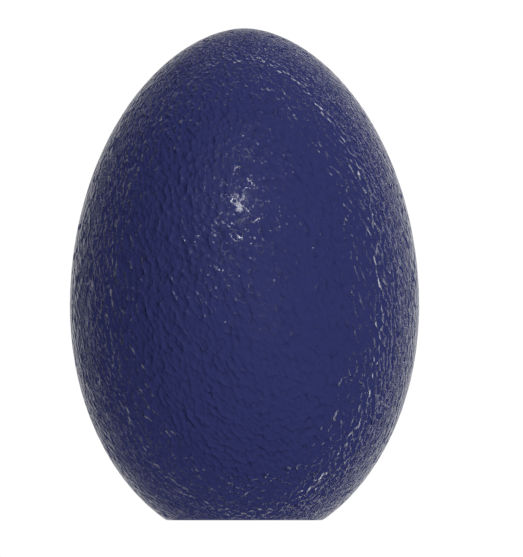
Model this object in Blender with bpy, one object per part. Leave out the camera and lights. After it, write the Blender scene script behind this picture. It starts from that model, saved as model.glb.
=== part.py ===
"""A large bird's egg, 90 mm wide and 127 mm tall, that stands with its pointed end up.

The egg is one solid. Its outline is a figure turned about the vertical axis: the blunt half is
an ellipse, and the pointed half is an ellipse drawn in a little towards the tip. The blunt end
is ground to a small flat, on which the egg rests.

Units are metres, +Z is up, and the origin is the centre of the flat.
"""

import math

import bmesh
import bpy

# Driving dimensions
WIDEST_DIAMETER = 0.0900  # across the widest ring
WIDEST_HEIGHT = 0.0551  # from the flat up to the widest ring
POINTED_LENGTH = 0.0717  # from the widest ring up to the tip
BLUNT_LENGTH = 0.0616  # from the widest ring down to where the blunt end would close without its flat
POINTEDNESS = 0.552  # 0.5 gives a plain ellipse above the widest ring, and more a leaner, sharper tip
FLAT_EDGE_ROUNDING = 0.00035  # between the flat and the side

# Fineness of the faceted surface
SEGMENTS = 80  # round the axis
POINTED_RINGS = 24  # from the widest ring to the tip
BLUNT_RINGS = 15  # from the widest ring to the flat
FLAT_RINGS = 2  # across the flat
ROUNDING_SEGMENTS = 2

# A fold between faces that is sharper than this is the rim of the flat, and no other is
RIM_ANGLE = math.radians(20)
WELD_DISTANCE = 1e-7

# Finish
SHELL_COLOUR = (0.028, 0.033, 0.122, 1.0)  # deep indigo, linear
SHELL_ROUGHNESS = 0.25

WIDEST_RADIUS = WIDEST_DIAMETER / 2
FLAT_ANGLE = math.asin(WIDEST_HEIGHT / BLUNT_LENGTH)
FLAT_RADIUS = WIDEST_RADIUS * math.cos(FLAT_ANGLE)


def clear_scene():
    for obj in list(bpy.data.objects):
        bpy.data.objects.remove(obj)


def pointed_point(angle):
    """(radius, height) on the pointed half, from 0 at the widest ring to a right angle at the tip."""
    radius = WIDEST_RADIUS * math.cos(angle) ** (2 * POINTEDNESS)
    return radius, WIDEST_HEIGHT + POINTED_LENGTH * math.sin(angle)


def blunt_point(angle):
    """(radius, height) on the blunt half, from 0 at the widest ring down to FLAT_ANGLE at the flat."""
    return WIDEST_RADIUS * math.cos(angle), WIDEST_HEIGHT - BLUNT_LENGTH * math.sin(angle)


def egg_profile():
    """The outline from the centre of the flat, out to its rim and up round the side to the tip."""
    flat = [(FLAT_RADIUS * ring / FLAT_RINGS, 0.0) for ring in range(FLAT_RINGS)]
    rim = [(FLAT_RADIUS, 0.0)]
    blunt = [blunt_point(FLAT_ANGLE * ring / BLUNT_RINGS) for ring in range(BLUNT_RINGS - 1, 0, -1)]
    pointed = [pointed_point(math.pi / 2 * ring / POINTED_RINGS) for ring in range(POINTED_RINGS)]
    tip = [(0.0, WIDEST_HEIGHT + POINTED_LENGTH)]
    return flat + rim + blunt + pointed + tip


def turned_mesh(name, profile):
    """A closed mesh made by turning the profile a full circle about the vertical axis."""
    shape = bmesh.new()
    points = [shape.verts.new((radius, 0.0, height)) for radius, height in profile]
    edges = [shape.edges.new(pair) for pair in zip(points, points[1:])]
    bmesh.ops.spin(
        shape,
        geom=points + edges,
        cent=(0.0, 0.0, 0.0),
        axis=(0.0, 0.0, 1.0),
        angle=math.tau,
        steps=SEGMENTS,
    )
    bmesh.ops.remove_doubles(shape, verts=shape.verts[:], dist=WELD_DISTANCE)
    bmesh.ops.recalc_face_normals(shape, faces=shape.faces[:])
    mesh = bpy.data.meshes.new(name)
    shape.to_mesh(mesh)
    shape.free()
    return mesh


def shell_material():
    material = bpy.data.materials.new("shell_indigo")
    material.use_nodes = True
    surface = material.node_tree.nodes["Principled BSDF"]
    surface.inputs["Base Color"].default_value = SHELL_COLOUR
    surface.inputs["Roughness"].default_value = SHELL_ROUGHNESS
    surface.inputs["Metallic"].default_value = 0.0
    material.diffuse_color = SHELL_COLOUR
    return material


def round_flat_rim(egg):
    """Eases the one sharp fold, between the flat and the side."""
    rounding = egg.modifiers.new("flat_rim_rounding", "BEVEL")
    rounding.limit_method = "ANGLE"
    rounding.angle_limit = RIM_ANGLE
    rounding.width = FLAT_EDGE_ROUNDING
    rounding.segments = ROUNDING_SEGMENTS


def make_egg():
    mesh = turned_mesh("egg", egg_profile())
    mesh.materials.append(shell_material())
    mesh.shade_smooth()
    egg = bpy.data.objects.new("egg", mesh)
    bpy.context.scene.collection.objects.link(egg)
    round_flat_rim(egg)
    return egg


def main():
    clear_scene()
    make_egg()


main()
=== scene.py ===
"""The looks of a large bird's egg: its pebbled indigo shell, and the plain stage that it stands on.

The shell is one closed mesh of about 190,000 triangles. It starts as the figure turned about the
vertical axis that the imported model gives, and is then pebbled inwards, so it never leaves the
model's box. One function builds the nodes of the relief. A modifier takes the swellings and pores
from it to move the mesh. The material adds all of it as bump: the dimples and grain, too fine for
the mesh, and the same swellings and pores once more, which makes their edges sharper.

Units are metres, +Z is up, and the origin is the centre of the flat that the egg rests on.
"""

import math

import bpy
import numpy as np
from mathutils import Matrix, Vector


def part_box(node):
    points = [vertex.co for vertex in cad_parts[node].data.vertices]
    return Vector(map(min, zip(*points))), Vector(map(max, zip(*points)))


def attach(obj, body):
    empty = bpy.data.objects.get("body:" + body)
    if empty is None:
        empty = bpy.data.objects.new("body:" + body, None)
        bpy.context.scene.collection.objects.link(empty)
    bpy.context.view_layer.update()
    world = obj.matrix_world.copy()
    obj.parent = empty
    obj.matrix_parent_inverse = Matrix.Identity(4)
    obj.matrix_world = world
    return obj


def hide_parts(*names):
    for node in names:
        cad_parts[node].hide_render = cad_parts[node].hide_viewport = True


bl_info = {
    "name": "Pebbled Egg",
    "version": (1, 0, 0),
    "blender": (4, 5, 0),
    "location": "3D View > Sidebar > Egg",
    "description": "Makes a pebbled, glossy indigo egg and the plain stage that it stands on",
    "category": "Object",
}

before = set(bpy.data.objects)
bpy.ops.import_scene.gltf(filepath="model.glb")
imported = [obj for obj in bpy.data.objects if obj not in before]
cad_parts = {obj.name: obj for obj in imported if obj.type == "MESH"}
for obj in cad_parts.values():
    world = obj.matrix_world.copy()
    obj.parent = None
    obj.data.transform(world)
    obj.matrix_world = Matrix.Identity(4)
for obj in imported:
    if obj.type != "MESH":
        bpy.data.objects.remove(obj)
EGG_LOW, EGG_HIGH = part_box("egg")
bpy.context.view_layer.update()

PLACE = "pebble_place"  # where a point lies in the relief, in pebble widths
SHARE = "relief_share"  # how much of the relief a point takes, from 0 to 1
SPARK_AZIMUTH = -3  # degrees from the camera's side to the right, of the small light that makes the highlight
SPARK_ELEVATION = 31  # degrees above the horizon
FLAT_RINGS = (0.25, 0.5, 0.72, 0.88, 0.96)  # radii of the rings on the flat, as shares of its own
FLAT_GROWTH = 0.35  # growth of the mesh's step on the flat, for each metre inwards from its edge
PORE_WALL = (-0.05, 0.15)  # a pore's floor is reached between these, of the measure that relief_nodes gives
# The pore's dark look is painted shade in the colour of its floor; its matt look is roughness.
PORE_FLOOR = (0.0, 0.06)  # between these the pore's dark, matt look sets in
LIP_START = (-0.2, -0.08)  # and between these, outside the pore, its shiny lip
QUIET_EDGE = (-0.15, 0.0)  # between these the dimples fade as a pore is neared
RIM_FADE = 0.0008  # metres up the side in which the relief grows to its full depth
TIP_SMOOTH = 0.0012  # metres round the axis at the tip without relief
TIP_FADE = 0.004  # metres beyond that in which it grows to its full depth
STRIP_BAND = (0.56, 0.68)  # how far behind the egg the strips lie, from 0 at its side to 1 straight behind
WALL_BAND = (0.74, 0.79)  # the same for the pale walls
BACK_RISE = (0.88, 0.97)  # the same for where the back begins and where it is full
GLOW_REACH = 0.72  # cosine of the angle from the small light at which its glow ends
GROUND_WHITE = 1.01  # what the camera sees behind the egg, a little over white so that no grey is left


class ShellForm(bpy.types.PropertyGroup):
    """The outline that is turned about the axis, and how fine its mesh is."""

    widest_diameter: bpy.props.FloatProperty(
        name="Widest diameter",
        description="Across the widest ring",
        default=EGG_HIGH.x - EGG_LOW.x,
        unit="LENGTH",
    )
    height: bpy.props.FloatProperty(
        name="Height",
        description="From the flat to the pointed tip",
        default=EGG_HIGH.z - EGG_LOW.z,
        unit="LENGTH",
    )
    widest_height: bpy.props.FloatProperty(
        name="Height of the widest ring",
        description="From the flat up to the widest ring",
        default=0.0551,
        unit="LENGTH",
    )
    blunt_length: bpy.props.FloatProperty(
        name="Blunt length",
        description="From the widest ring down to where the blunt end would close without its flat",
        default=0.0616,
        unit="LENGTH",
    )
    pointedness: bpy.props.FloatProperty(
        name="Pointedness",
        description="0.5 gives a plain ellipse above the widest ring, and more a leaner, sharper tip",
        default=0.552,
    )
    flat_edge_rounding: bpy.props.FloatProperty(
        name="Rounding of the flat's edge",
        description="How far the rounding reaches along the flat and up the side",
        default=0.00035,
        unit="LENGTH",
    )
    mesh_step: bpy.props.FloatProperty(
        name="Mesh step",
        description="Edge length of the side's triangles",
        default=0.00062,
        unit="LENGTH",
    )


class ShellRelief(bpy.types.PropertyGroup):
    """The pebbling and the pores."""

    pebble_width: bpy.props.FloatProperty(
        name="Pebble width",
        description="Width of one dimple of the pebbling at the widest ring",
        default=0.00155,
        unit="LENGTH",
    )
    depth: bpy.props.FloatProperty(
        name="Relief depth",
        description="Full depth of the relief that the mesh itself takes",
        default=0.00018,
        unit="LENGTH",
    )
    bump_depth: bpy.props.FloatProperty(
        name="Grain depth",
        description="Full depth of the bump that the material adds, dimples, grain and pores together",
        default=0.00019,
        unit="LENGTH",
    )
    roundness: bpy.props.FloatProperty(
        name="Roundness",
        description="2 gives round dimples, and more gives flatter floors and steeper sides",
        default=2.4,
    )
    dimple_depth: bpy.props.FloatProperty(
        name="Dimple depth",
        description="Depth of the dimples, as a share of the grain depth",
        default=1.3,
    )
    dimple_softness: bpy.props.FloatProperty(
        name="Softness of the ridges",
        description="How far the ridges between the dimples are rounded off",
        default=0.35,
    )
    soft_depth: bpy.props.FloatProperty(
        name="Soft depth",
        description="Depth of the soft unevenness under the dimples, as a share of the grain depth",
        default=0.5,
    )
    swell_depth: bpy.props.FloatProperty(
        name="Swelling depth",
        description="Depth of the broad swellings, as a share of the relief depth",
        default=0.2,
    )
    pore_spacing: bpy.props.FloatProperty(
        name="Pore spacing",
        description="Distance from pore to pore, in pebble widths",
        default=2.0,
    )
    pore_size: bpy.props.FloatProperty(
        name="Pore size",
        description="Radius of a plain round pore, in pebble widths",
        default=0.46,
    )
    pore_raggedness: bpy.props.FloatProperty(
        name="Raggedness of the pores",
        description="0 gives round pores, and more lets the dimples shape their edges",
        default=0.95,
    )
    pore_depth: bpy.props.FloatProperty(
        name="Pore depth",
        description="Depth of the pores, as a share of the relief depth",
        default=0.55,
    )
    drift: bpy.props.FloatProperty(
        name="Drift",
        description="How far the pattern strays from an even one, in pebble widths",
        default=0.7,
    )
    shrink: bpy.props.FloatProperty(
        name="Shrink towards the ends",
        description="0 keeps one pebble size all over, and 1 one number of pebbles round every ring",
        default=0.5,
        subtype="FACTOR",
    )
    slant: bpy.props.FloatProperty(
        name="Slant",
        description="Angle from the vertical at which the pebbles lean",
        default=math.radians(14),
        subtype="ANGLE",
    )
    stretch: bpy.props.FloatProperty(
        name="Stretch",
        description="Length of a pebble along its slant, over its width",
        default=1.25,
    )


class ShellFinish(bpy.types.PropertyGroup):
    """Colours and gloss of the shell."""

    shell_colour: bpy.props.FloatVectorProperty(
        name="Shell",
        description="Colour of the pebbles",
        subtype="COLOR",
        size=4,
        default=(0.028, 0.033, 0.122, 1.0),
    )
    # The pores lean to this colour as painted shade in their floors, and the cloudy patches as tone that
    # differs at random.
    pore_shade_and_cloud_colour: bpy.props.FloatVectorProperty(
        name="Pores",
        description="Darker colour that the pores and the cloudy patches lean to",
        subtype="COLOR",
        size=4,
        default=(0.021, 0.025, 0.094, 1.0),
    )
    # The lips are painted lighter than the shell, as painted light that makes up for the light their thick
    # clear skin takes from the colour beneath.
    lip_painted_light_colour: bpy.props.FloatVectorProperty(
        name="Lips",
        description="Colour round the edge of a pore, under its clear skin",
        subtype="COLOR",
        size=4,
        default=(0.033, 0.039, 0.144, 1.0),
    )
    # How far the pores' floors are painted darker, as painted shade.
    pore_painted_shade: bpy.props.FloatProperty(
        name="Tone of the pores",
        description="How far the pores lean to the darker colour",
        default=0.3,
        subtype="FACTOR",
    )
    cloudiness: bpy.props.FloatProperty(
        name="Cloudiness",
        description="How far the darkest of the wide, cloudy patches lean to it",
        default=0.16,
        subtype="FACTOR",
    )
    roughness: bpy.props.FloatProperty(
        name="Roughness",
        description="Roughness of the pebbles' own surface",
        default=0.06,
        subtype="FACTOR",
    )
    pore_roughness: bpy.props.FloatProperty(
        name="Roughness of the pores",
        description="Roughness of the pores' floors",
        default=1.0,
        subtype="FACTOR",
    )
    refraction: bpy.props.FloatProperty(
        name="Refractive index",
        description="Refractive index of the pebbles' own surface",
        default=1.5,
    )
    skin: bpy.props.FloatProperty(
        name="Clear skin",
        description="How much clear skin lies on the pebbles, where it is as thick as usual",
        default=0.035,
        subtype="FACTOR",
    )
    lip_skin: bpy.props.FloatProperty(
        name="Clear skin of the lips",
        description="How much clear skin lies round the edge of a pore",
        default=0.8,
        subtype="FACTOR",
    )
    skin_refraction: bpy.props.FloatProperty(
        name="Refractive index of the skin",
        description="Refractive index of the clear skin",
        default=3.0,
    )
    gloss: bpy.props.FloatProperty(
        name="Roughness of the skin",
        description="Roughness of the clear skin on the pebbles",
        default=0.15,
        subtype="FACTOR",
    )
    lip_roughness: bpy.props.FloatProperty(
        name="Roughness of the lips",
        description="Roughness of the clear skin round the edge of a pore",
        default=0.28,
        subtype="FACTOR",
    )


class Stage(bpy.types.PropertyGroup):
    """The floor, the lights, the surroundings that the gloss mirrors, and the camera."""

    floor_radius: bpy.props.FloatProperty(
        name="Floor radius",
        description="Radius of the pale floor",
        default=1.5,
        unit="LENGTH",
    )
    floor_colour: bpy.props.FloatVectorProperty(
        name="Floor",
        description="Colour of the floor",
        subtype="COLOR",
        size=4,
        default=(0.86, 0.86, 0.86, 1.0),
    )
    front: bpy.props.FloatProperty(
        name="Front",
        description="Strength of the soft light from the front and a little to the right",
        default=3.38,
    )
    above: bpy.props.FloatProperty(
        name="Above",
        description="Strength of the broad light from behind and above",
        default=3.4,
    )
    low_left: bpy.props.FloatProperty(
        name="Low left",
        description="Strength of the broad light from below on the left, behind the egg",
        default=4.4,
    )
    low_right: bpy.props.FloatProperty(
        name="Low right",
        description="Strength of the broad light from below on the right, behind the egg",
        default=2.05,
    )
    right_strip: bpy.props.FloatProperty(
        name="Right strip",
        description="Brightness of the strip that the steepest dimples on the right mirror",
        default=2.1,
    )
    right_wall: bpy.props.FloatProperty(
        name="Right wall",
        description="Brightness of the narrow pale wall that the dimples near the right edge mirror",
        default=3.6,
    )
    right_back: bpy.props.FloatProperty(
        name="Right back",
        description="Brightness of the surroundings that the right edge itself mirrors",
        default=0.75,
    )
    left_strip: bpy.props.FloatProperty(
        name="Left strip",
        description="Brightness of the strip that the steepest dimples on the left mirror",
        default=1.35,
    )
    left_wall: bpy.props.FloatProperty(
        name="Left wall",
        description="Brightness of the narrow pale wall that the dimples near the left edge mirror",
        default=1.1,
    )
    left_back: bpy.props.FloatProperty(
        name="Left back",
        description="Brightness of the surroundings that the left edge itself mirrors",
        default=0.55,
    )
    glow: bpy.props.FloatProperty(
        name="Glow",
        description="Brightness of the surroundings close round the small light",
        default=0.16,
    )
    spark: bpy.props.FloatProperty(
        name="Small light",
        description="Strength of the small light that makes the highlight",
        default=0.175,
    )
    frame_height: bpy.props.FloatProperty(
        name="Picture height",
        description="Height of what the camera shows",
        default=0.1435,
        unit="LENGTH",
    )
    frame_centre: bpy.props.FloatVectorProperty(
        name="Picture centre",
        description="Point at the middle of the picture",
        subtype="XYZ",
        unit="LENGTH",
        default=(0.00438, 0.0, 0.0623),
    )


# The form


def turned_profile(form):
    """Close points (radius, height) of the outline, from the rim of the flat up to the tip, with the flat's
    own radius and the number of points in its rim."""
    widest = form.widest_diameter / 2
    pointed_length = form.height - form.widest_height
    cut = math.asin(form.widest_height / form.blunt_length)
    corner = np.array((widest * math.cos(cut), 0.0))
    reach = form.flat_edge_rounding
    up_the_side = np.array((widest * math.sin(cut), form.blunt_length * math.cos(cut)))
    up_the_side /= np.linalg.norm(up_the_side)
    rim_start = corner - np.array((reach, 0.0))
    rim_end = corner + up_the_side * reach
    t = np.linspace(0.0, 1.0, 9)[:, None]
    rim = rim_start * (1 - t) ** 2 + corner * 2 * t * (1 - t) + rim_end * t**2
    blunt_angle = np.linspace(math.asin((form.widest_height - rim_end[1]) / form.blunt_length), 0.0, 2000)[1:]
    blunt = np.stack(
        (widest * np.cos(blunt_angle), form.widest_height - form.blunt_length * np.sin(blunt_angle)), axis=1
    )
    pointed_angle = np.linspace(0.0, math.pi / 2, 4000)[1:-1]
    pointed = np.stack(
        (
            widest * np.cos(pointed_angle) ** (2 * form.pointedness),
            form.widest_height + pointed_length * np.sin(pointed_angle),
        ),
        axis=1,
    )
    tip = np.array(((0.0, form.height),))
    return np.concatenate((rim, blunt, pointed, tip)), rim_start[0], len(rim)


def lengths_along(points):
    """Distance from the first point to each, along the line through them."""
    steps = np.linalg.norm(np.diff(points, axis=0), axis=1)
    return np.concatenate(((0.0,), np.cumsum(steps)))


def ring_plan(form, relief):
    """Rows (radius, height, place round the axis, place along the side, share of the relief) from near the
    centre of the flat up to the tip."""
    step = form.mesh_step
    points, flat_radius, rim_points = turned_profile(form)
    along = lengths_along(points)
    radius = points[:, 0]
    widest = form.widest_diameter / 2
    scale = np.maximum(radius, step) / widest
    finer = scale ** (relief.shrink - 1)
    place_along = np.concatenate(((0.0,), np.cumsum(np.diff(along) * (finer[1:] + finer[:-1]) / 2)))
    place_round = widest * scale**relief.shrink

    rim_length = along[rim_points - 1]
    side_rows = round((along[-1] - rim_length) / (step * math.sqrt(3) / 2))
    side = np.linspace(rim_length, along[-1], side_rows + 1)[:-1]
    rim = along[: rim_points - 1 : 2]
    stations = np.concatenate((rim, side))

    rows = []
    for inner in FLAT_RINGS:
        rows.append((flat_radius * inner, 0.0, flat_radius, 0.0, 0.0))
    for station in stations:
        rows.append(
            (
                np.interp(station, along, radius),
                np.interp(station, along, points[:, 1]),
                np.interp(station, along, place_round),
                np.interp(station, along, place_along),
                min(1.0, max(0.0, (station - rim_length) / RIM_FADE)),
            )
        )
    return rows


def zip_rings(low, high, low_phase, high_phase):
    """Triangles between two rings of points, whose counts may differ. low and high are lists of indices."""
    faces = []
    i = j = 0
    while i < len(low) or j < len(high):
        next_low = (i + 1 + low_phase) / len(low)
        next_high = (j + 1 + high_phase) / len(high)
        a = low[i % len(low)]
        b = high[j % len(high)]
        if j == len(high) or (i < len(low) and next_low <= next_high):
            faces.append((a, low[(i + 1) % len(low)], b))
            i += 1
        else:
            faces.append((a, high[(j + 1) % len(high)], b))
            j += 1
    return faces


def shell_mesh(form, relief):
    """The smooth shell in rings of even triangles, with each point's place and share of the relief."""
    rows = ring_plan(form, relief)
    step = form.mesh_step
    points = [(0.0, 0.0, 0.0)]
    places = [(0.0, 0.0, 0.0)]
    shares = [0.0]
    faces = []
    below = None
    below_phase = 0.0
    flat_radius = rows[len(FLAT_RINGS)][0]
    for number, (radius, height, place_round, place_along, share) in enumerate(rows):
        spacing = step
        if number < len(FLAT_RINGS):
            spacing = step + (flat_radius - radius) * FLAT_GROWTH
        count = max(6, round(math.tau * radius / spacing))
        phase = 0.5 if number % 2 else 0.0
        ring = []
        fade = 1.0
        if height > form.widest_height:
            fade = min(1.0, max(0.0, (radius - TIP_SMOOTH) / TIP_FADE))
        for k in range(count):
            angle = math.tau * (k + phase) / count
            ring.append(len(points))
            points.append((radius * math.cos(angle), radius * math.sin(angle), height))
            places.append((place_round * math.cos(angle), place_round * math.sin(angle), place_along))
            shares.append(share * fade)
        if below is None:
            faces += [(0, ring[(k + 1) % count], ring[k]) for k in range(count)]
        else:
            faces += zip_rings(below, ring, below_phase, phase)
        below = ring
        below_phase = phase
    tip = len(points)
    points.append((0.0, 0.0, form.height))
    places.append((0.0, 0.0, rows[-1][3]))
    shares.append(0.0)
    faces += [(below[k], below[(k + 1) % len(below)], tip) for k in range(len(below))]
    mesh = bpy.data.meshes.new("eggshell")
    mesh.from_pydata(points, [], faces)
    mesh.attributes.new(PLACE, "FLOAT_VECTOR", "POINT").data.foreach_set(
        "vector", (np.array(places) / relief.pebble_width).astype(np.float32).ravel()
    )
    mesh.attributes.new(SHARE, "FLOAT", "POINT").data.foreach_set("value", np.array(shares, np.float32))
    mesh.shade_smooth()
    mesh.validate()
    return mesh


# The relief


def new_node(tree, kind, *inputs, **settings):
    """Adds a node, sets its properties, and gives its first inputs a link or a value each."""
    node = tree.nodes.new(kind)
    for name, value in settings.items():
        setattr(node, name, value)
    for socket, value in zip(node.inputs, inputs):
        put(tree, socket, value)
    return node


def put(tree, socket, value):
    """Links an output to a socket, or sets the socket to a plain value."""
    if isinstance(value, bpy.types.NodeSocket):
        tree.links.new(value, socket)
    else:
        socket.default_value = value


def maths(tree, operation, *inputs):
    return new_node(tree, "ShaderNodeMath", *inputs, operation=operation).outputs[0]


def vector_maths(tree, operation, *inputs):
    return new_node(tree, "ShaderNodeVectorMath", *inputs, operation=operation).outputs[0]


def scaled(tree, vector, factor):
    node = new_node(tree, "ShaderNodeVectorMath", vector, operation="SCALE")
    put(tree, node.inputs["Scale"], factor)
    return node.outputs[0]


def ramp(tree, value, low, high, to_low, to_high, kind="SMOOTHSTEP"):
    """Passes from to_low to to_high while the value goes from low to high."""
    node = new_node(tree, "ShaderNodeMapRange", value, low, high, to_low, to_high, interpolation_type=kind)
    return node.outputs["Result"]


def noise(tree, place, scale, detail=0.0):
    node = new_node(tree, "ShaderNodeTexNoise", noise_dimensions="3D")
    put(tree, node.inputs["Vector"], place)
    node.inputs["Scale"].default_value = scale
    node.inputs["Detail"].default_value = detail
    return node


def value_of(node):
    """The height output of a noise node, whose name differs between materials and modifiers."""
    return node.outputs[0]


def cells(tree, place, scale, feature, smoothness=0.5):
    """Distance from the middle of the nearest cell of an uneven pattern."""
    node = new_node(tree, "ShaderNodeTexVoronoi", voronoi_dimensions="3D", feature=feature)
    put(tree, node.inputs["Vector"], place)
    node.inputs["Scale"].default_value = scale
    if feature == "SMOOTH_F1":
        node.inputs["Smoothness"].default_value = smoothness
    return node.outputs["Distance"]


def leaning_place(tree, place, relief, form):
    """The place turned round the axis as it rises, shortened along the slant and let stray a little, so that
    the pebbles lean, stretch and lie unevenly."""
    radius = form.widest_diameter / 2 / relief.pebble_width
    height = new_node(tree, "ShaderNodeSeparateXYZ", place).outputs[2]
    turned = new_node(tree, "ShaderNodeVectorRotate", rotation_type="Z_AXIS")
    put(tree, turned.inputs["Vector"], place)
    put(tree, turned.inputs["Angle"], maths(tree, "MULTIPLY", height, math.tan(relief.slant) / radius))
    leaning = vector_maths(tree, "MULTIPLY", turned.outputs[0], (1.0, 1.0, 1.0 / relief.stretch))
    drift = noise(tree, leaning, 0.9, 3.0).outputs["Color"]
    drift = vector_maths(tree, "SUBTRACT", drift, (0.5, 0.5, 0.5))
    return vector_maths(tree, "ADD", leaning, scaled(tree, drift, relief.drift))


def relief_nodes(tree, place, relief, form):
    """The nodes of the shell's relief. They give the broad swellings and pores, from 0 down to -1, then the
    finer dimples and grain, and last a measure that is 0 at the edge of a pore and more inside it. Scales of
    noise are in waves to a pebble width."""
    warped = leaning_place(tree, place, relief, form)

    dimple = cells(tree, warped, 1.0, "F1")
    middle = cells(tree, warped, 1 / relief.pore_spacing, "F1")
    inside = maths(tree, "MULTIPLY_ADD", middle, -relief.pore_spacing, relief.pore_size)
    ragged = maths(tree, "SUBTRACT", dimple, 0.5)
    inside = maths(tree, "MULTIPLY_ADD", ragged, relief.pore_raggedness, inside)
    pore = ramp(tree, inside, *PORE_WALL, 0.0, 1.0)
    swell = value_of(noise(tree, warped, 0.7))
    swell = ramp(tree, swell, 0.3, 0.7, 0.0, relief.swell_depth, "LINEAR")
    hollow = maths(tree, "MULTIPLY", pore, relief.pore_depth)
    broad = maths(tree, "SUBTRACT", maths(tree, "MULTIPLY", swell, -1.0), hollow)

    rise = cells(tree, warped, 1.0, "SMOOTH_F1", relief.dimple_softness)
    rise = maths(tree, "MAXIMUM", rise, 0.0)
    bowl = maths(tree, "POWER", maths(tree, "MULTIPLY", rise, 1.5), relief.roundness)
    deep = ramp(tree, value_of(noise(tree, warped, 0.4, 1.0)), 0.36, 0.68, 0.8, 1.2)
    bowl = maths(tree, "MULTIPLY", bowl, deep)
    soft = value_of(noise(tree, warped, 1.3))
    soft = maths(tree, "MULTIPLY", maths(tree, "SUBTRACT", soft, 0.5), relief.soft_depth)
    grain = maths(tree, "MULTIPLY_ADD", bowl, relief.dimple_depth, soft)
    quiet = ramp(tree, inside, *QUIET_EDGE, 1.0, 0.4)
    grain = maths(tree, "MULTIPLY", grain, quiet)
    return broad, grain, inside


def pebbling_modifier(shell, form, relief):
    """Moves the mesh inwards along its normals, by no more than the relief's depth."""
    tree = bpy.data.node_groups.new("pebbling", "GeometryNodeTree")
    tree.interface.new_socket("Geometry", in_out="INPUT", socket_type="NodeSocketGeometry")
    tree.interface.new_socket("Geometry", in_out="OUTPUT", socket_type="NodeSocketGeometry")
    start = tree.nodes.new("NodeGroupInput")
    end = tree.nodes.new("NodeGroupOutput")
    place = new_node(tree, "GeometryNodeInputNamedAttribute", PLACE, data_type="FLOAT_VECTOR").outputs[0]
    share = new_node(tree, "GeometryNodeInputNamedAttribute", SHARE, data_type="FLOAT").outputs[0]
    broad = relief_nodes(tree, place, relief, form)[0]
    sunk = maths(tree, "MINIMUM", maths(tree, "MULTIPLY", broad, share), 0.0)
    normal = tree.nodes.new("GeometryNodeInputNormal").outputs[0]
    offset = scaled(tree, normal, maths(tree, "MULTIPLY", sunk, relief.depth))
    move = tree.nodes.new("GeometryNodeSetPosition")
    tree.links.new(start.outputs[0], move.inputs["Geometry"])
    tree.links.new(offset, move.inputs["Offset"])
    tree.links.new(move.outputs["Geometry"], end.inputs[0])
    modifier = shell.modifiers.new("pebbling", "NODES")
    modifier.node_group = tree


# The finish


def mixed_colour(tree, share, first, second):
    node = new_node(tree, "ShaderNodeMix", data_type="RGBA")
    put(tree, node.inputs["Factor"], share)
    put(tree, node.inputs[6], first)
    put(tree, node.inputs[7], second)
    return node.outputs[2]


def shell_material(form, relief, finish):
    """Matt pores with floors painted darker as shade, and clear, shiny lips painted lighter to make up for the
    light their thick skin takes, in a glossy, slightly cloudy shell.

    The clear skin is the coat. It is thin and patchy on the pebbles, thick on the lips and absent in the pores.
    """
    material = bpy.data.materials.new("pebbled_indigo_shell")
    material.use_nodes = True
    tree = material.node_tree
    surface = tree.nodes["Principled BSDF"]
    place = new_node(tree, "ShaderNodeAttribute", attribute_name=PLACE).outputs["Vector"]
    share = new_node(tree, "ShaderNodeAttribute", attribute_name=SHARE).outputs["Fac"]
    broad, grain, inside = relief_nodes(tree, place, relief, form)
    pore = maths(tree, "MULTIPLY", ramp(tree, inside, *PORE_FLOOR, 0.0, 1.0), share)
    lip = ramp(tree, inside, *LIP_START, 0.0, 1.0)
    lip = maths(tree, "SUBTRACT", maths(tree, "MULTIPLY", lip, share), pore)

    cloud = value_of(noise(tree, place, 0.12, 2.0))
    patchy = ramp(tree, cloud, 0.3, 0.7, 0.0, finish.cloudiness, "LINEAR")
    # Painted shade: the pores' floors are darkened in colour. The cloudy patches are tone that differs at
    # random.
    pore_shade = maths(tree, "MULTIPLY", pore, finish.pore_painted_shade)
    shade_and_cloud = maths(tree, "MULTIPLY", maths(tree, "MAXIMUM", pore_shade, patchy), share)
    colour = mixed_colour(tree, shade_and_cloud, finish.shell_colour, finish.pore_shade_and_cloud_colour)
    # Painted light: the lips are made lighter, to make up for what their thick clear skin takes.
    colour = mixed_colour(tree, lip, colour, finish.lip_painted_light_colour)
    tree.links.new(colour, surface.inputs["Base Color"])

    rough = ramp(tree, pore, 0.0, 1.0, finish.roughness, finish.pore_roughness, "LINEAR")
    tree.links.new(rough, surface.inputs["Roughness"])
    surface.inputs["IOR"].default_value = finish.refraction

    patch = ramp(tree, value_of(noise(tree, place, 0.8, 1.0)), 0.48, 0.56, 0.1, 3.0)
    thin = maths(tree, "MULTIPLY", patch, finish.skin)
    skin = maths(tree, "MULTIPLY_ADD", lip, maths(tree, "SUBTRACT", finish.lip_skin, thin), thin)
    skin = maths(tree, "MULTIPLY", skin, maths(tree, "SUBTRACT", 1.0, pore))
    tree.links.new(skin, surface.inputs["Coat Weight"])
    skin_rough = ramp(tree, lip, 0.0, 1.0, finish.gloss, finish.lip_roughness, "LINEAR")
    tree.links.new(skin_rough, surface.inputs["Coat Roughness"])
    surface.inputs["Coat IOR"].default_value = finish.skin_refraction

    bump = tree.nodes.new("ShaderNodeBump")
    bump.inputs["Strength"].default_value = 1.0
    bump.inputs["Distance"].default_value = relief.bump_depth
    tree.links.new(maths(tree, "MULTIPLY", maths(tree, "ADD", grain, broad), share), bump.inputs["Height"])
    tree.links.new(bump.outputs[0], surface.inputs["Normal"])
    return material


class EGG_OT_make_shell(bpy.types.Operator):
    """Make the pebbled shell in place of the plain solid"""

    bl_idname = "egg.make_shell"
    bl_label = "Make the shell"

    def execute(self, context):
        scene = context.scene
        mesh = shell_mesh(scene.egg_form, scene.egg_relief)
        mesh.materials.append(shell_material(scene.egg_form, scene.egg_relief, scene.egg_finish))
        shell = bpy.data.objects.new("eggshell", mesh)
        scene.collection.objects.link(shell)
        pebbling_modifier(shell, scene.egg_form, scene.egg_relief)
        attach(shell, "root")
        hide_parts("egg")
        return {"FINISHED"}


# The stage


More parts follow.
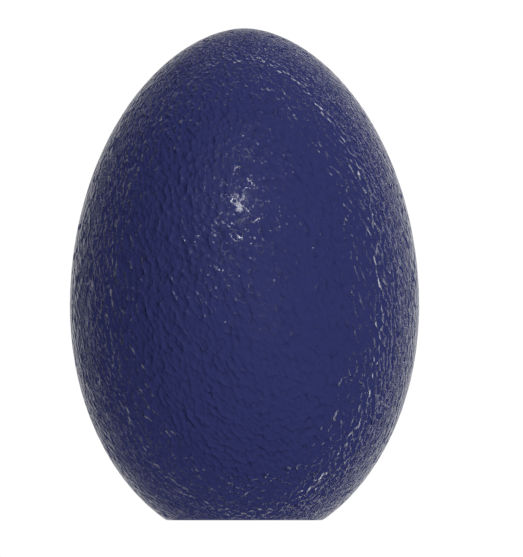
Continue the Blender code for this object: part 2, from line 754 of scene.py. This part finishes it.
def towards(azimuth, elevation):
    """A direction from the egg. Azimuth 0 is the camera's side, and a right angle is to its right."""
    level = math.cos(elevation)
    return Vector((math.sin(azimuth) * level, -math.cos(azimuth) * level, math.sin(elevation)))


def add_sun(scene, name, azimuth, elevation, strength, width, glossy=False):
    """A far light, with its angles in degrees. It either shows in reflections or lights the matt colour."""
    data = bpy.data.lights.new(name, "SUN")
    data.energy = strength
    data.angle = math.radians(width)
    light = bpy.data.objects.new(name, data)
    light.rotation_mode = "QUATERNION"
    light.location = towards(math.radians(azimuth), math.radians(elevation))
    light.rotation_quaternion = light.location.to_track_quat("Z", "Y")
    light.visible_glossy = glossy
    light.visible_diffuse = not glossy
    scene.collection.objects.link(light)


def band(tree, behind, low, high, strength):
    """A soft band of brightness, strongest midway between low and high."""
    middle = (low + high) / 2
    rise = ramp(tree, behind, low, middle, 0.0, strength)
    return maths(tree, "MULTIPLY", rise, ramp(tree, behind, middle, high, 1.0, 0.0))


def one_side(tree, behind, strip, wall, back):
    """Brightness of one side of the surroundings, by how far behind the egg it lies."""
    bands = maths(tree, "ADD", band(tree, behind, *STRIP_BAND, strip), band(tree, behind, *WALL_BAND, wall))
    return maths(tree, "ADD", bands, ramp(tree, behind, *BACK_RISE, 0.0, back))


def studio_world(stage):
    """White behind the egg, and in its gloss a strip, a wall and a back on either side, with a small glow."""
    world = bpy.data.worlds.new("plain_studio")
    world.use_nodes = True
    tree = world.node_tree
    tree.nodes.clear()
    direction = tree.nodes.new("ShaderNodeTexCoord").outputs["Generated"]
    split = new_node(tree, "ShaderNodeSeparateXYZ", direction)
    right = split.outputs[0]
    behind = split.outputs[1]
    right_side = one_side(tree, behind, stage.right_strip, stage.right_wall, stage.right_back)
    left_side = one_side(tree, behind, stage.left_strip, stage.left_wall, stage.left_back)
    side = ramp(tree, right, -0.35, 0.35, 0.0, 1.0)
    difference = maths(tree, "SUBTRACT", right_side, left_side)
    walls = maths(tree, "ADD", left_side, maths(tree, "MULTIPLY", side, difference))
    spark = towards(math.radians(SPARK_AZIMUTH), math.radians(SPARK_ELEVATION))
    close = new_node(tree, "ShaderNodeVectorMath", direction, spark, operation="DOT_PRODUCT")
    close = close.outputs["Value"]
    glow = maths(tree, "POWER", ramp(tree, close, GLOW_REACH, 1.0, 0.0, 1.0, "LINEAR"), 3.0)
    light = maths(tree, "ADD", walls, maths(tree, "MULTIPLY", glow, stage.glow))
    path = tree.nodes.new("ShaderNodeLightPath")
    ground = maths(tree, "MULTIPLY", path.outputs["Is Camera Ray"], GROUND_WHITE)
    shown = maths(tree, "MAXIMUM", light, ground)
    background = tree.nodes.new("ShaderNodeBackground")
    tree.links.new(shown, background.inputs["Color"])
    output = tree.nodes.new("ShaderNodeOutputWorld")
    tree.links.new(background.outputs[0], output.inputs["Surface"])
    world.cycles.sampling_method = "NONE"
    return world


def floor_disc(scene, stage):
    """A round pale floor. The egg doesn't mirror it, and the low lights shine through it."""
    mesh = bpy.data.meshes.new("floor")
    corners = 96
    radius = stage.floor_radius
    angles = [math.tau * k / corners for k in range(corners)]
    points = [(radius * math.cos(angle), radius * math.sin(angle), 0.0) for angle in angles]
    mesh.from_pydata(points, [], [tuple(range(corners))])
    material = bpy.data.materials.new("pale_floor")
    material.use_nodes = True
    surface = material.node_tree.nodes["Principled BSDF"]
    surface.inputs["Base Color"].default_value = stage.floor_colour
    surface.inputs["Roughness"].default_value = 0.7
    mesh.materials.append(material)
    floor = bpy.data.objects.new("floor", mesh)
    floor.visible_diffuse = False
    floor.visible_glossy = False
    floor.visible_shadow = False
    scene.collection.objects.link(floor)


def level_camera(scene, stage):
    """A camera without perspective, level with the middle of the picture."""
    data = bpy.data.cameras.new("camera")
    data.type = "ORTHO"
    data.ortho_scale = stage.frame_height
    data.clip_start = 0.01
    data.clip_end = 10.0
    camera = bpy.data.objects.new("camera", data)
    camera.location = Vector(stage.frame_centre) + towards(0.0, 0.0) * 0.6
    camera.rotation_euler = (math.pi / 2, 0.0, 0.0)
    scene.collection.objects.link(camera)
    scene.camera = camera


class EGG_OT_make_stage(bpy.types.Operator):
    """Make the pale floor, the soft lights and the camera"""

    bl_idname = "egg.make_stage"
    bl_label = "Make the stage"

    def execute(self, context):
        scene = context.scene
        stage = scene.egg_stage
        floor_disc(scene, stage)
        scene.world = studio_world(stage)
        add_sun(scene, "front", 15, 0, stage.front, 24)
        add_sun(scene, "above", 180, 60, stage.above, 80)
        add_sun(scene, "low_left", -150, -30, stage.low_left, 80)
        add_sun(scene, "low_right", 135, -15, stage.low_right, 80)
        add_sun(scene, "spark", SPARK_AZIMUTH, SPARK_ELEVATION, stage.spark, 5, glossy=True)
        level_camera(scene, stage)
        scene.view_settings.view_transform = "Standard"
        return {"FINISHED"}


class EGG_PT_panel(bpy.types.Panel):
    """The egg's sizes and colours, and its two operators"""

    bl_idname = "EGG_PT_panel"
    bl_label = "Pebbled Egg"
    bl_space_type = "VIEW_3D"
    bl_region_type = "UI"
    bl_category = "Egg"

    def draw(self, context):
        scene = context.scene
        for group in (scene.egg_form, scene.egg_relief, scene.egg_finish, scene.egg_stage):
            box = self.layout.box()
            for name in group.bl_rna.properties.keys():
                if name not in ("rna_type", "name"):
                    box.prop(group, name)
        self.layout.operator(EGG_OT_make_stage.bl_idname)
        self.layout.operator(EGG_OT_make_shell.bl_idname)


CLASSES = (
    ShellForm,
    ShellRelief,
    ShellFinish,
    Stage,
    EGG_OT_make_stage,
    EGG_OT_make_shell,
    EGG_PT_panel,
)
GROUPS = {"egg_form": ShellForm, "egg_relief": ShellRelief, "egg_finish": ShellFinish, "egg_stage": Stage}


def register():
    for kind in CLASSES:
        bpy.utils.register_class(kind)
    for name, kind in GROUPS.items():
        setattr(bpy.types.Scene, name, bpy.props.PointerProperty(type=kind))


def unregister():
    for name in GROUPS:
        delattr(bpy.types.Scene, name)
    for kind in reversed(CLASSES):
        bpy.utils.unregister_class(kind)


def main():
    register()
    bpy.ops.egg.make_stage()
    bpy.ops.egg.make_shell()


if __name__ == "__main__":
    main()
